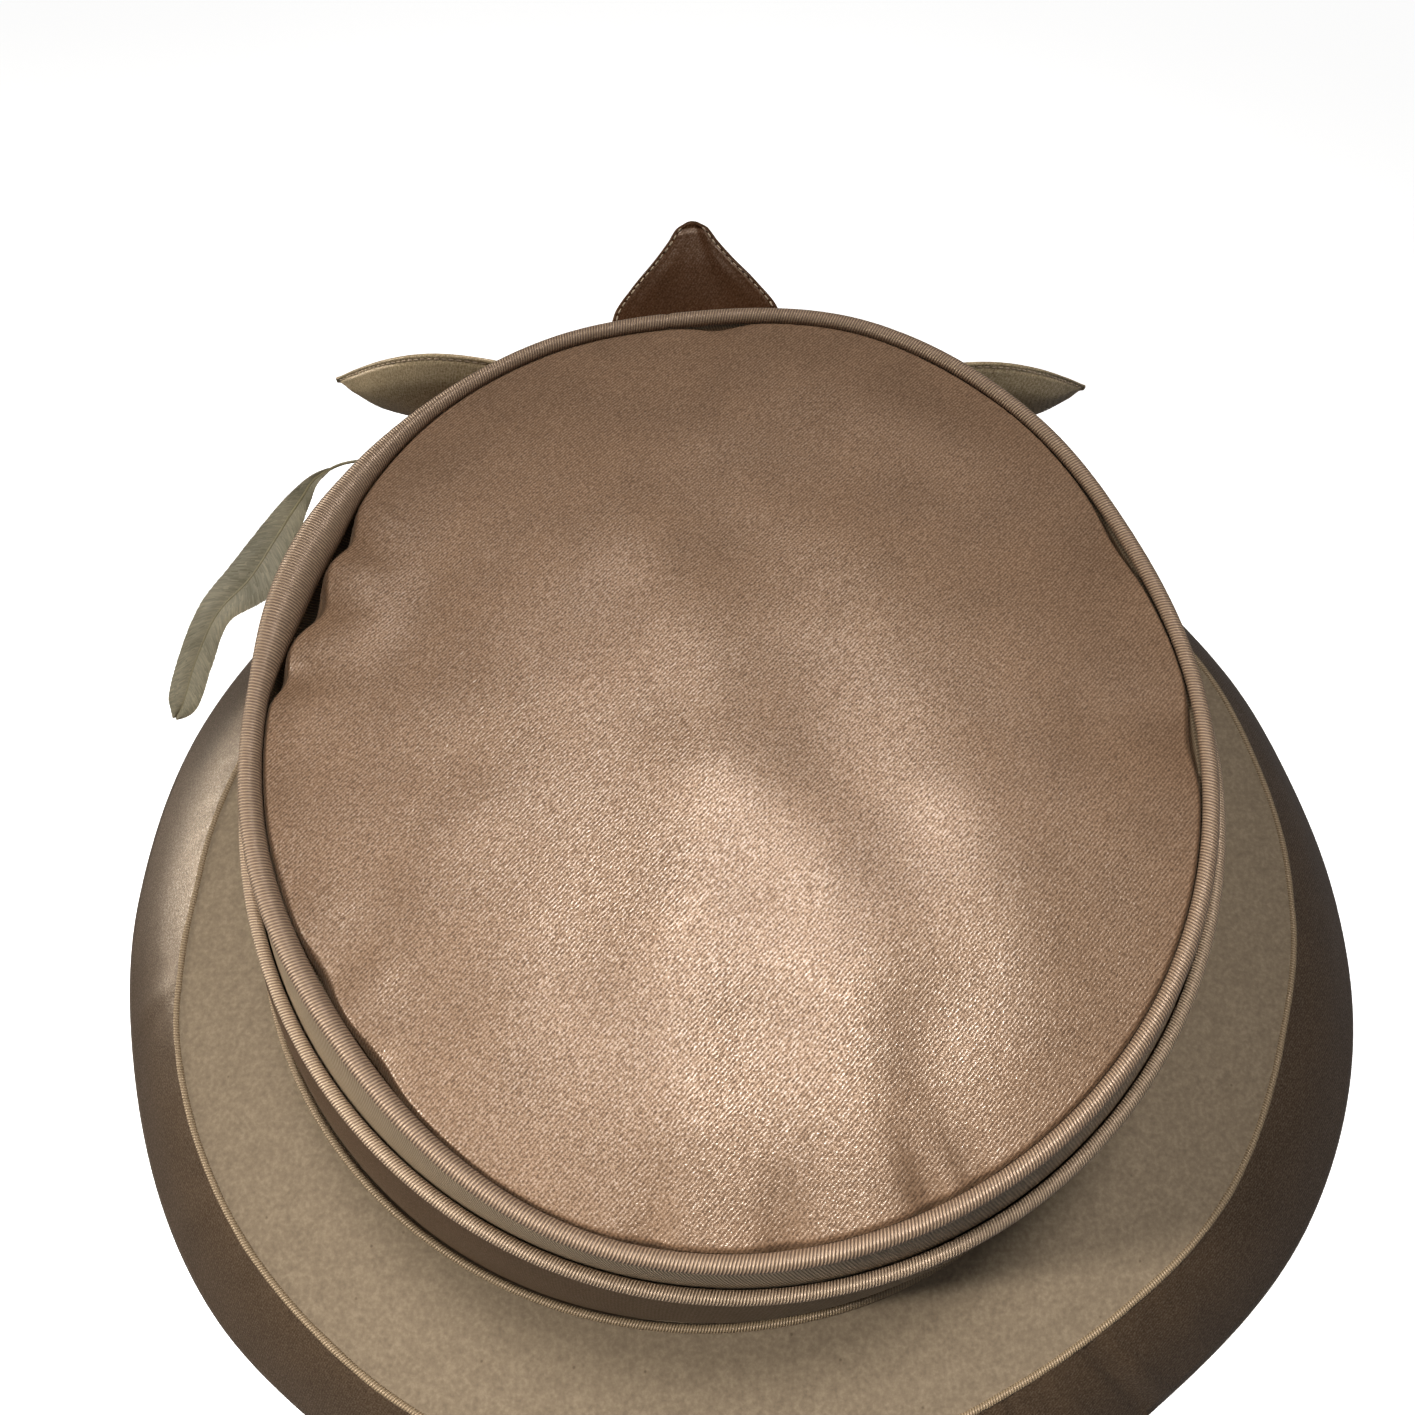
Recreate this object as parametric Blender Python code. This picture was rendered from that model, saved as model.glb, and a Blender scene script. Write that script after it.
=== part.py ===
"""Dress hat: an oval satin crown on a wool felt brim with a sloping satin edge, corded piping,
a three-petal satin flower and a feather. Metres, +Z up. The wearer faces -Y, and the origin is
on the resting plane under the middle of the brim."""
import math

import bmesh
import bpy
from mathutils import Vector

# Crown: half sizes of the corded line round it, and how the top and the foot differ from that line
ROLL_HALF_WIDTH = 0.0930
ROLL_HALF_LENGTH = 0.0969
ROLL_SHIFT_SIDE = 0.0010
TIP_TAPER_SIDES = 0.0071
TIP_TAPER_ENDS = 0.0035
FOOT_FLARE_SIDES = 0.0090
FOOT_FLARE_ENDS = 0.0015
FOOT_SHIFT_SIDE = -0.0045
CROWN_HEIGHT = 0.0845
TIP_STRIP = 0.0165
CROWN_SHIFT_SIDE = -0.0040
CROWN_SHIFT_BACK = 0.0012

# Brim: how far its edge stands out from the crown's corded line, and its sloping satin part
BRIM_REACH_SIDES = 0.0610
BRIM_REACH_ENDS = 0.0495
SATIN_REACH = 0.0225
SATIN_DROP = 0.0250
SATIN_BULGE = 0.0020
FELT_RISE = 0.0040
FOOT_WIDTH = 0.0035
EDGE_NOSE = 0.0016

# Walls, cords and clearance
WALL_THICKNESS = 0.0016
BAND_THICKNESS = 0.0015
FELT_THICKNESS = 0.0025
SATIN_THICKNESS = 0.0024
TIP_THICKNESS = 0.0014
PIPING_DIAMETER = 0.0032
ROLL_DIAMETER = 0.0024
TRIM_DIAMETER = 0.0018
SEAM_DIAMETER = 0.0016
SEAM_PROUD = 0.0005
PIPING_OVERHANG = 0.0012
ROLL_OVERHANG = 0.0006
BAND_BELLY = 0.0008
GAP = 0.0003

# Top of the crown
DOME_HEIGHT = 0.0040
PUCKER_DEPTH = 0.0030
PUCKER_PULL = 0.0027

# Flower and feather behind the crown
KNOT_HEIGHT = 0.0230
KNOT_SHIFT_SIDE = -0.0040
KNOT_RADIUS = 0.0110
KNOT_DEPTH = 0.0120
PETAL_REACH = 0.0900
PETAL_WIDTH = 0.0380
PETAL_THICKNESS = 0.0020
PETAL_CUP = 0.0060
PETAL_START = 0.0100
PETAL_SEAT = 0.0018
FEATHER_STANDOFF = 0.0430
FEATHER_WIDTH = 0.0110
FEATHER_THICKNESS = 0.0012
FEATHER_TILT = math.radians(25)

# Sides of every ring, and of the round cords
SIDES = 56
CORD_RESOLUTION = 1

# How the brim's edge departs from an oval: degrees from +X, share of the oval's reach
EDGE_OUTLINE = (
    (-180, 1.000),
    (-165, 0.995),
    (-140, 1.009),
    (-125, 1.000),
    (-90, 1.000),
    (-51, 0.975),
    (-30, 1.000),
    (-14, 1.007),
    (0, 1.000),
    (12, 0.995),
    (25, 1.002),
    (60, 1.000),
    (120, 1.000),
    (160, 1.010),
    (180, 1.000),
)

# How the piping round the top departs from an oval: degrees from +X, share of the oval's reach
TIP_OUTLINE = (
    (-180, 1.003),
    (-162, 1.000),
    (-135, 0.976),
    (-100, 0.998),
    (-75, 0.996),
    (-25, 1.010),
    (0, 1.002),
    (25, 0.987),
    (45, 1.005),
    (70, 1.019),
    (96, 0.988),
    (115, 1.003),
    (160, 1.014),
    (180, 1.003),
)

# Width of the satin slope round the brim: degrees from +X, share of SATIN_REACH
SATIN_SHARES = (
    (-180, 1.07),
    (-171, 0.95),
    (-162, 0.82),
    (-140, 0.81),
    (-122, 0.73),
    (-90, 0.84),
    (-65, 1.00),
    (-46, 0.98),
    (-18, 1.12),
    (-5, 1.01),
    (6, 0.91),
    (20, 0.85),
    (70, 0.92),
    (120, 1.07),
    (155, 1.18),
    (166, 1.17),
    (180, 1.07),
)

# Thickness of the tip piping: degrees from +X, share of PIPING_DIAMETER
PIPING_SWELL = (
    (-180, 1.20),
    (-165, 1.28),
    (-150, 1.25),
    (-125, 1.00),
    (-90, 0.90),
    (0, 0.90),
    (90, 1.00),
    (130, 1.05),
    (146, 1.72),
    (157, 2.40),
    (166, 2.25),
    (173, 1.70),
    (180, 1.20),
)

# Puckers at the rim of the crown's top: degrees from +X, half spread in degrees,
# share of PUCKER_DEPTH, share of PUCKER_PULL
PUCKERS = (
    (164, 5, 1.00, 1.00),
    (153, 5, 0.60, 0.30),
    (174, 4, 0.60, 0.30),
    (-158, 5, 0.35, 0.25),
    (-132, 6, 0.50, 0.40),
    (-2, 7, 0.60, 0.50),
    (24, 8, 0.35, 0.20),
    (97, 6, 0.40, 0.25),
    (-98, 5, 0.45, 0.10),
    (-84, 4, 0.40, 0.10),
    (-68, 5, 0.45, 0.12),
)

# Rings of the crown's top, as shares of its reach
TIP_RINGS = (0.30, 0.55, 0.75, 0.88, 0.95, 1.00)

# Felt's top from the crown's foot to the seam: share of the way, share of FELT_RISE that is left
FELT_SLOPE = (
    (0.00, 1.00),
    (0.35, 0.78),
    (0.70, 0.36),
    (1.00, 0.00),
)

# Petals: name, degrees clockwise from upright, then as shares of PETAL_REACH the reach in the flower's
# plane, the lift away from the crown and the upward bow, then share of PETAL_WIDTH, twist in degrees
PETALS = (
    ("petal_center", -4, 0.51, 0.37, 0.00, 1.10, 0),
    ("petal_left", -80, 1.04, 0.16, 0.18, 0.82, -12),
    ("petal_right", 82, 1.07, 0.16, 0.18, 0.82, 14),
)

# How a petal's twist grows: share of its length, share of its twist
TWIST_GROWTH = (
    (0.00, 0.00),
    (0.50, 1.00),
    (1.00, 1.00),
)

# Outline of a petal: share of its length, share of its width
PETAL_OUTLINE = (
    (0.00, 0.16),
    (0.16, 0.42),
    (0.35, 0.80),
    (0.54, 1.00),
    (0.70, 0.98),
    (0.83, 0.76),
    (0.93, 0.38),
    (1.00, 0.05),
)
PETAL_COLUMNS = 6

# Feather from its quill to its tip: degrees round the crown, share of FEATHER_STANDOFF from the band,
# share of CROWN_HEIGHT above the felt, share of FEATHER_WIDTH
FEATHER = (
    (98.0, 0.10, 0.17, 0.16),
    (108.0, 0.13, 0.17, 0.20),
    (116.0, 0.20, 0.18, 0.22),
    (122.5, 0.41, 0.20, 0.22),
    (128.0, 0.69, 0.24, 0.22),
    (133.6, 0.99, 0.27, 0.30),
    (140.2, 1.03, 0.27, 0.60),
    (143.9, 0.99, 0.26, 0.80),
    (147.6, 0.96, 0.25, 1.00),
    (151.6, 0.96, 0.24, 0.96),
    (155.4, 1.01, 0.21, 0.72),
    (158.7, 1.02, 0.19, 0.64),
    (161.6, 1.02, 0.15, 0.64),
    (164.0, 1.02, 0.12, 0.46),
    (165.6, 1.04, 0.11, 0.12),
)
FEATHER_COLUMNS = 4

# Heights that follow from the sizes
FELT_TOP = SATIN_DROP + FELT_RISE
CROWN_TOP = FELT_TOP + CROWN_HEIGHT
ROLL_CENTRE = CROWN_TOP - TIP_STRIP
KNOT_CENTRE = FELT_TOP + KNOT_HEIGHT

# Finishes: base colour, roughness
FELT = ("wool_felt", (0.33, 0.26, 0.18), 0.95)
SATIN = ("polyester_satin", (0.30, 0.20, 0.13), 0.40)
CORD = ("satin_cord", (0.38, 0.27, 0.18), 0.40)
PLUME = ("dyed_feather", (0.36, 0.34, 0.22), 0.80)


def blend(low, high, share):
    return low + (high - low) * share


def look_up(table, where):
    """Eased value of the table's second column at this place of its first."""
    for (here, low), (there, high) in zip(table, table[1:]):
        if where <= there:
            share = (where - here) / (there - here)
            return blend(low, high, share * share * (3 - 2 * share))
    return table[-1][1]


def degrees_of(angle):
    """The angle in degrees, from -180 to 180."""
    return (math.degrees(angle) + 180) % 360 - 180


def oval_reach(angle, half_width, half_length, shift_x=0.0, shift_y=0.0):
    """Distance from the crown's axis, in this direction, to an oval that is shifted from that axis."""
    ray = Vector((math.cos(angle) / half_width, math.sin(angle) / half_length))
    start = Vector((-shift_x / half_width, -shift_y / half_length))
    square = ray.dot(ray)
    along = ray.dot(start)
    return (-along + math.sqrt(along * along - square * (start.dot(start) - 1))) / square


def roll_line(angle):
    """Outermost line of the corded top edge of the band."""
    return oval_reach(angle, ROLL_HALF_WIDTH, ROLL_HALF_LENGTH, ROLL_SHIFT_SIDE)


def tip_line(angle):
    """Outermost line of the piping round the top."""
    half_width = ROLL_HALF_WIDTH - TIP_TAPER_SIDES
    half_length = ROLL_HALF_LENGTH - TIP_TAPER_ENDS
    return oval_reach(angle, half_width, half_length) * look_up(TIP_OUTLINE, degrees_of(angle))


def foot_line(angle):
    """Outer line of the band where it meets the felt."""
    half_width = ROLL_HALF_WIDTH + FOOT_FLARE_SIDES
    half_length = ROLL_HALF_LENGTH + FOOT_FLARE_ENDS
    return oval_reach(angle, half_width, half_length, FOOT_SHIFT_SIDE)


def edge_line(angle):
    """Outermost line of the brim, which is centred on the origin."""
    half_width = ROLL_HALF_WIDTH + BRIM_REACH_SIDES
    half_length = ROLL_HALF_LENGTH + BRIM_REACH_ENDS
    oval = oval_reach(angle, half_width, half_length, -CROWN_SHIFT_SIDE, -CROWN_SHIFT_BACK)
    return oval * look_up(EDGE_OUTLINE, degrees_of(angle))


def seam_line(angle):
    """Line of the cord between the felt and the satin edge."""
    return edge_line(angle) - SATIN_REACH * look_up(SATIN_SHARES, degrees_of(angle))


def wall_foot_line(angle):
    return foot_line(angle) - BAND_THICKNESS - GAP


def piping_radius(angle):
    return PIPING_DIAMETER / 2 * look_up(PIPING_SWELL, degrees_of(angle))


def band_reach(angle, height):
    """Outer face of the band at this height above the resting plane."""
    share = (height - FELT_TOP) / (ROLL_CENTRE - FELT_TOP)
    belly = BAND_BELLY * math.sin(math.pi * share)
    return blend(foot_line(angle), roll_line(angle) - ROLL_OVERHANG, share) + belly


def round_the_crown(angle, reach, height):
    """The point at this distance from the crown's axis."""
    across = CROWN_SHIFT_SIDE + reach * math.cos(angle)
    back = CROWN_SHIFT_BACK + reach * math.sin(angle)
    return Vector((across, back, height))


def all_angles():
    return [math.tau * step / SIDES for step in range(SIDES)]


def coat(thing, finish):
    """Gives the object its own material of this finish."""
    kind, colour, roughness = finish
    material = bpy.data.materials.new(f"{kind}_{thing.name}")
    material.use_nodes = True
    shader = material.node_tree.nodes["Principled BSDF"]
    shader.inputs["Base Color"].default_value = (*colour, 1.0)
    shader.inputs["Roughness"].default_value = roughness
    shader.inputs["Metallic"].default_value = 0.0
    thing.data.materials.append(material)


def add_mesh(name, build, finish):
    """Puts the finished bmesh into the scene as a smooth-shaded object."""
    bmesh.ops.recalc_face_normals(build, faces=build.faces)
    mesh = bpy.data.meshes.new(name)
    build.to_mesh(mesh)
    build.free()
    mesh.shade_smooth()
    mesh.set_sharp_from_angle(angle=math.radians(40))
    thing = bpy.data.objects.new(name, mesh)
    bpy.context.scene.collection.objects.link(thing)
    coat(thing, finish)
    return thing


def join_rows(build, first, second, closed):
    """Faces between two rows of vertices with as many vertices each."""
    count = len(first) if closed else len(first) - 1
    for here in range(count):
        there = (here + 1) % len(first)
        build.faces.new((first[here], second[here], second[there], first[there]))


def add_ring(name, section, finish):
    """A ring round the crown. section(angle) gives its closed outline there, as (reach, height) pairs."""
    build = bmesh.new()
    rows = [
        [build.verts.new(round_the_crown(angle, reach, height)) for reach, height in section(angle)]
        for angle in all_angles()
    ]
    for here, there in zip(rows, rows[1:] + rows[:1]):
        join_rows(build, here, there, closed=True)
    return add_mesh(name, build, finish)


def add_sheet(name, rows, thickness, finish):
    """A sheet through rows of points, given its thickness equally to both sides."""
    build = bmesh.new()
    lines = [[build.verts.new(point) for point in row] for row in rows]
    for here, there in zip(lines, lines[1:]):
        join_rows(build, here, there, closed=False)
    thing = add_mesh(name, build, finish)
    thicken(thing, thickness, 0.0)
    return thing


def thicken(thing, thickness, offset):
    solidify = thing.modifiers.new("thickness", "SOLIDIFY")
    solidify.thickness = thickness
    solidify.offset = offset
    solidify.use_even_offset = False


def add_cord(name, place, radius, finish):
    """A round cord in a closed loop. place(angle) is its centre and radius(angle) half its thickness."""
    curve = bpy.data.curves.new(name, "CURVE")
    curve.dimensions = "3D"
    curve.twist_mode = "Z_UP"
    curve.bevel_depth = 1.0
    curve.bevel_resolution = CORD_RESOLUTION
    spline = curve.splines.new("POLY")
    spline.points.add(SIDES - 1)
    spline.use_cyclic_u = True
    spline.use_smooth = True
    for point, angle in zip(spline.points, all_angles()):
        point.co = (*place(angle), 1.0)
        point.radius = radius(angle)
    thing = bpy.data.objects.new(name, curve)
    bpy.context.scene.collection.objects.link(thing)
    coat(thing, finish)
    return thing


def wall_section(outer, thickness):
    """Closed outline of a standing wall, from its outer face's (reach, height) pairs."""
    inner = [(reach - thickness, height) for reach, height in reversed(outer)]
    return outer + inner


def add_crown_wall():
    """Standing wall of the crown, from the felt to the piping."""

    def section(angle):
        top = tip_line(angle) - PIPING_OVERHANG
        waist = roll_line(angle) - ROLL_DIAMETER - GAP
        outer = [
            (top, CROWN_TOP - GAP),
            (waist, ROLL_CENTRE),
            (wall_foot_line(angle), FELT_TOP + GAP),
        ]
        return wall_section(outer, WALL_THICKNESS)

    add_ring("crown_wall", section, SATIN)


def add_hat_band():
    """Satin band round the crown, under its corded top edge."""
    low = FELT_TOP + GAP
    high = ROLL_CENTRE - ROLL_DIAMETER / 2 - GAP

    def section(angle):
        heights = [blend(high, low, share) for share in (0.0, 0.3, 0.65, 1.0)]
        outer = [(band_reach(angle, height), height) for height in heights]
        return wall_section(outer, BAND_THICKNESS)

    add_ring("hat_band", section, SATIN)


def pucker_at(degrees, column):
    """Sum of one column of the puckers at this direction, each fading over its half spread."""
    total = 0.0
    for row in PUCKERS:
        away = (degrees - row[0] + 180) % 360 - 180
        total += row[column] * math.exp(-((away / row[1]) ** 2))
    return total


def tip_rim(angle):
    """Reach of the top's rim, inside the piping and drawn in at the puckers."""
    inside_piping = tip_line(angle) - 2 * piping_radius(angle) - GAP
    return inside_piping - PUCKER_PULL * pucker_at(degrees_of(angle), 3)


def tip_height(angle, share):
    """Height of the top's upper face: a low dome with puckers that fade inwards from its rim."""
    rim = CROWN_TOP + PIPING_DIAMETER / 2
    dome = DOME_HEIGHT * (1 - share**2.6)
    fade = max(0.0, (share - 0.72) / 0.28) ** 2
    return rim + dome - PUCKER_DEPTH * pucker_at(degrees_of(angle), 2) * fade


def add_crown_tip():
    """Top of the crown, drawn to the piping."""
    build = bmesh.new()
    middle = build.verts.new(round_the_crown(0.0, 0.0, tip_height(0.0, 0.0)))
    rings = []
    for share in TIP_RINGS:
        places = [(angle, share * tip_rim(angle), tip_height(angle, share)) for angle in all_angles()]
        rings.append([build.verts.new(round_the_crown(*place)) for place in places])
    for here, there in zip(rings[0], rings[0][1:] + rings[0][:1]):
        build.faces.new((middle, here, there))
    for inner, outer in zip(rings, rings[1:]):
        join_rows(build, inner, outer, closed=True)
    tip = add_mesh("crown_tip", build, SATIN)
    thicken(tip, TIP_THICKNESS, -1.0)


def add_tip_piping():
    def place(angle):
        radius = piping_radius(angle)
        return round_the_crown(angle, tip_line(angle) - radius, CROWN_TOP + radius)

    add_cord("tip_piping", place, piping_radius, CORD)


def add_band_roll():
    def place(angle):
        return round_the_crown(angle, roll_line(angle) - ROLL_DIAMETER / 2, ROLL_CENTRE)

    add_cord("band_roll", place, lambda angle: ROLL_DIAMETER / 2, CORD)


def add_base_trim():
    def place(angle):
        reach = foot_line(angle) + GAP + TRIM_DIAMETER / 2
        return round_the_crown(angle, reach, FELT_TOP + GAP + TRIM_DIAMETER / 2)

    add_cord("base_trim", place, lambda angle: TRIM_DIAMETER / 2, CORD)


def add_seam_piping():
    def place(angle):
        return round_the_crown(angle, seam_line(angle), SATIN_DROP + SEAM_PROUD - SEAM_DIAMETER / 2)

    add_cord("seam_piping", place, lambda angle: SEAM_DIAMETER / 2, CORD)


def add_brim_felt():
    """Felt brim, open where the head goes in, level under the crown and then falling to the seam."""

    def section(angle):
        head = wall_foot_line(angle) - WALL_THICKNESS
        clear_of_trim = foot_line(angle) + TRIM_DIAMETER + 2 * GAP
        seam = seam_line(angle) - SEAM_DIAMETER / 2 - GAP
        top = [(head, FELT_TOP)]
        for share, rise in FELT_SLOPE:
            top.append((blend(clear_of_trim, seam, share), SATIN_DROP + FELT_RISE * rise))
        under = [(reach, height - FELT_THICKNESS) for reach, height in reversed(top)]
        return top + under

    add_ring("brim_felt", section, FELT)


def add_brim_edge():
    """Sloping satin edge of the brim, with a flat foot on the resting plane."""

    def section(angle):
        start = seam_line(angle) + SEAM_DIAMETER / 2 + GAP
        end = edge_line(angle)
        top = []
        under = []
        for share in (0.0, 0.25, 0.5, 0.75, 0.93):
            reach = blend(start, end, share)
            height = blend(SATIN_DROP, EDGE_NOSE, share) + SATIN_BULGE * math.sin(math.pi * share)
            lean = min(1.0, 3 * share)
            inwards = 0.75 * lean * SATIN_THICKNESS
            down = (1 - 0.3 * lean) * SATIN_THICKNESS
            top.append((reach, height))
            under.append((reach - inwards, height - down))
        heel = end - EDGE_NOSE / 2
        foot = [(end, EDGE_NOSE), (heel, 0.0), (heel - FOOT_WIDTH, 0.0)]
        return top + foot + under[-2::-1]

    add_ring("brim_edge", section, SATIN)


def knot_seat():
    """Point on the band behind the crown, where the flower sits."""
    back = math.pi / 2
    seat = round_the_crown(back, band_reach(back, KNOT_CENTRE), KNOT_CENTRE)
    return seat + Vector((KNOT_SHIFT_SIDE, 0, 0))


def add_flower_knot():
    """Flattened button that carries the petals."""
    build = bmesh.new()
    bmesh.ops.create_uvsphere(build, u_segments=14, v_segments=9, radius=1.0)
    bmesh.ops.scale(build, vec=(KNOT_RADIUS, KNOT_DEPTH / 2, KNOT_RADIUS), verts=build.verts)
    bmesh.ops.translate(build, vec=knot_seat() + Vector((0, GAP + KNOT_DEPTH / 2, 0)), verts=build.verts)
    add_mesh("flower_knot", build, SATIN)


def add_petal(name, turn, reach, lift, bow, width, twist):
    """A cupped pointed petal that grows from beside the knot, with its hollow face towards the crown."""
    ahead = Vector((math.sin(math.radians(turn)), 0, math.cos(math.radians(turn))))
    beside = Vector((ahead.z, 0, -ahead.x))
    away = Vector((0, 1, 0))
    seat = knot_seat() + away * PETAL_SEAT
    rows = []
    for share, spread in PETAL_OUTLINE:
        out = blend(PETAL_START, PETAL_REACH * reach, share)
        middle = seat + ahead * out + away * (PETAL_REACH * lift * share**1.3)
        middle.z += PETAL_REACH * bow * 4 * share * (1 - share)
        angle = math.radians(twist) * look_up(TWIST_GROWTH, share)
        across = beside * math.cos(angle) + away * math.sin(angle)
        hollow = away * math.cos(angle) - beside * math.sin(angle)
        half = PETAL_WIDTH * width * spread / 2
        row = []
        for column in range(PETAL_COLUMNS + 1):
            side = 2 * column / PETAL_COLUMNS - 1
            row.append(middle + across * half * side - hollow * PETAL_CUP * spread * share * side**2)
        rows.append(row)
    add_sheet(name, rows, PETAL_THICKNESS, SATIN)


def add_feather():
    """Curved feather that leaves the flower below the left petal and follows the crown at a distance."""
    rows = []
    for degrees, standoff, rise, spread in FEATHER:
        angle = math.radians(degrees)
        reach = roll_line(angle) + FEATHER_STANDOFF * standoff
        middle = round_the_crown(angle, reach, FELT_TOP + CROWN_HEIGHT * rise)
        outwards = Vector((math.cos(angle), math.sin(angle), 0))
        across = outwards * math.cos(FEATHER_TILT) + Vector((0, 0, math.sin(FEATHER_TILT)))
        half = FEATHER_WIDTH * spread / 2
        sides = [2 * column / FEATHER_COLUMNS - 1 for column in range(FEATHER_COLUMNS + 1)]
        rows.append([middle + across * half * side for side in sides])
    add_sheet("feather", rows, FEATHER_THICKNESS, PLUME)


def clear_scene():
    for thing in list(bpy.data.objects):
        bpy.data.objects.remove(thing, do_unlink=True)


def main():
    clear_scene()
    add_brim_edge()
    add_brim_felt()
    add_seam_piping()
    add_crown_wall()
    add_hat_band()
    add_base_trim()
    add_band_roll()
    add_crown_tip()
    add_tip_piping()
    add_flower_knot()
    for petal in PETALS:
        add_petal(*petal)
    add_feather()


main()
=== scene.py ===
import math
import random
from collections import namedtuple

import bmesh
import bpy
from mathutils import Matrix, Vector, noise


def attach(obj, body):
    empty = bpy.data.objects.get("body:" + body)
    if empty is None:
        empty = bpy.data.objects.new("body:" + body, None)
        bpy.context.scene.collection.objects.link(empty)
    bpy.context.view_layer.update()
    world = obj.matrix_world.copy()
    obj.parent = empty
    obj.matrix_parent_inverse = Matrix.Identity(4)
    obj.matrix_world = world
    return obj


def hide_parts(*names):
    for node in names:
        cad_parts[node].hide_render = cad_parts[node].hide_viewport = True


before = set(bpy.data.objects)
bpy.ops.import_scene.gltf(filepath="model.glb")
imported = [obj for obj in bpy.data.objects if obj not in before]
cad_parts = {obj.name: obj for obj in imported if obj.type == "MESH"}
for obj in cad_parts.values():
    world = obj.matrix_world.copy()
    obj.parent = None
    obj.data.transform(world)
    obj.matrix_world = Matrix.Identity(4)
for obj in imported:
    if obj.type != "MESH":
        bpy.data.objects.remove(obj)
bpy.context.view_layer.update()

# Sizes of the solids that the cloth covers, in metres
ROLL_HALF_WIDTH = 0.0930
ROLL_HALF_LENGTH = 0.0969
ROLL_SHIFT_SIDE = 0.0010
TIP_TAPER_SIDES = 0.0071
TIP_TAPER_ENDS = 0.0035
FOOT_FLARE_SIDES = 0.0090
FOOT_FLARE_ENDS = 0.0015
FOOT_SHIFT_SIDE = -0.0045
CROWN_SHIFT_SIDE = -0.0040
CROWN_SHIFT_BACK = 0.0012
BRIM_REACH_SIDES = 0.0610
BRIM_REACH_ENDS = 0.0495
SATIN_REACH = 0.0225
SATIN_BULGE = 0.0020
EDGE_NOSE = 0.0016
FOOT_WIDTH = 0.0035
FELT_RISE = 0.0040
FELT_THICKNESS = 0.0025
WALL_THICKNESS = 0.0016
BAND_THICKNESS = 0.0015
PIPING_DIAMETER = 0.0032
ROLL_DIAMETER = 0.0024
TRIM_DIAMETER = 0.0018
SEAM_DIAMETER = 0.0016
BAND_BELLY = 0.0008
BAND_TOP_INSET = 0.0006
WALL_TOP_INSET = 0.0012
EDGE_THICKNESS = 0.0024
SEAM_OPENING = 0.0003
SEAM_STANDING = 0.0005
GAP = 0.0003

# Heights above the resting plane
SEAM_HEIGHT = 0.0250
FELT_TOP = 0.0290
ROLL_CENTRE = 0.0970
CROWN_TOP = 0.1135
KNOT_CENTRE = 0.0520

# Crown's top
DOME_HEIGHT = 0.0040
TIP_SHOULDER = 0.0010
TIP_OVERLAP = 0.0001
TIP_THICKNESS = 0.0008
TIP_REACH = 0.09
SLACK_SIZE = 0.016
SLACK_HEIGHT = 0.00018

# Shares of the top's reach from which it swells with the piping and its tucks deepen
SWELL_START = 0.72
TUCK_START = 0.80

# Cloth of the wall that is turned in below the seam of the crown's top: its reach inwards, then how far its
# upper and lower face are below the crown's top, at the wall and at its end
SEAM_ALLOWANCE = 0.0075
ALLOWANCE_AT_WALL = (0.0058, 0.0070)
ALLOWANCE_AT_END = (0.0087, 0.0095)

# Place of the piping's join in degrees from +X, depth of its notch as a share, half spread in degrees
PIPING_JOIN = 97.5
JOIN_DEPTH = 0.14
JOIN_SPREAD = 0.45

# Unevenness of the cords: shares of their thickness, and the seam cord's wandering in metres
PIPING_UNEVENNESS = 0.015
SEAM_UNEVENNESS = 0.12
SEAM_SLACK = 0.00012

# Small waves of the cloth, in metres
STRIP_BELLY = 0.0003
BAND_SLACK = 0.00035
FELT_WAVE = 0.0004
EDGE_GATHER = 0.00018

# Satin edge: share of its slope at which the rounded nose begins, lean of its folds out of the upright
NOSE_SHARE = 0.93
FOLD_LEAN = 0.7

# Steps round the crown for the cords, walls, edge and top, and rows across them
CORD_STEPS = 720
WALL_STEPS = 480
EDGE_STEPS = 900
TIP_SIDES = 400
STRIP_ROWS = 10
BAND_ROWS = 24
FELT_ROWS = 22
EDGE_ROWS = 16
WIDE_RINGS = 50
FINE_RINGS = 34
FINE_START = 0.90

# Edges of the rings sharper than this stay sharp
SHARP_ANGLE = math.radians(50)

# Distance from the crown's axis at which the cloth's random wandering is laid out
WANDER_REACH = 0.095

# Felt's top from the crown's foot to the seam: share of the way, share of FELT_RISE that is left
FELT_SLOPE = ((0.00, 1.00), (0.35, 0.78), (0.70, 0.36), (1.00, 0.00))

# How the brim's edge departs from an oval: degrees from +X, share of the oval's reach
EDGE_OUTLINE = (
    (-180, 1.000), (-165, 0.995), (-140, 1.009), (-125, 1.000), (-90, 1.000),
    (-51, 0.975), (-30, 1.000), (-14, 1.007), (0, 1.000), (12, 0.995),
    (25, 1.002), (60, 1.000), (120, 1.000), (160, 1.010), (180, 1.000),
)

# How the piping round the top departs from an oval: degrees from +X, share of the oval's reach
TIP_OUTLINE = (
    (-180, 1.003), (-162, 1.000), (-135, 0.976), (-100, 0.998), (-75, 0.996),
    (-25, 1.010), (0, 1.002), (25, 0.987), (45, 1.005), (70, 1.019),
    (96, 0.988), (115, 1.003), (160, 1.014), (180, 1.003),
)

# Width of the satin slope round the brim: degrees from +X, share of SATIN_REACH
SATIN_SHARES = (
    (-180, 1.07), (-171, 0.95), (-162, 0.82), (-140, 0.81), (-122, 0.73),
    (-90, 0.84), (-65, 1.00), (-46, 0.98), (-18, 1.12), (-5, 1.01),
    (6, 0.91), (20, 0.85), (70, 0.92), (120, 1.07), (155, 1.18),
    (166, 1.17), (180, 1.07),
)

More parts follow.
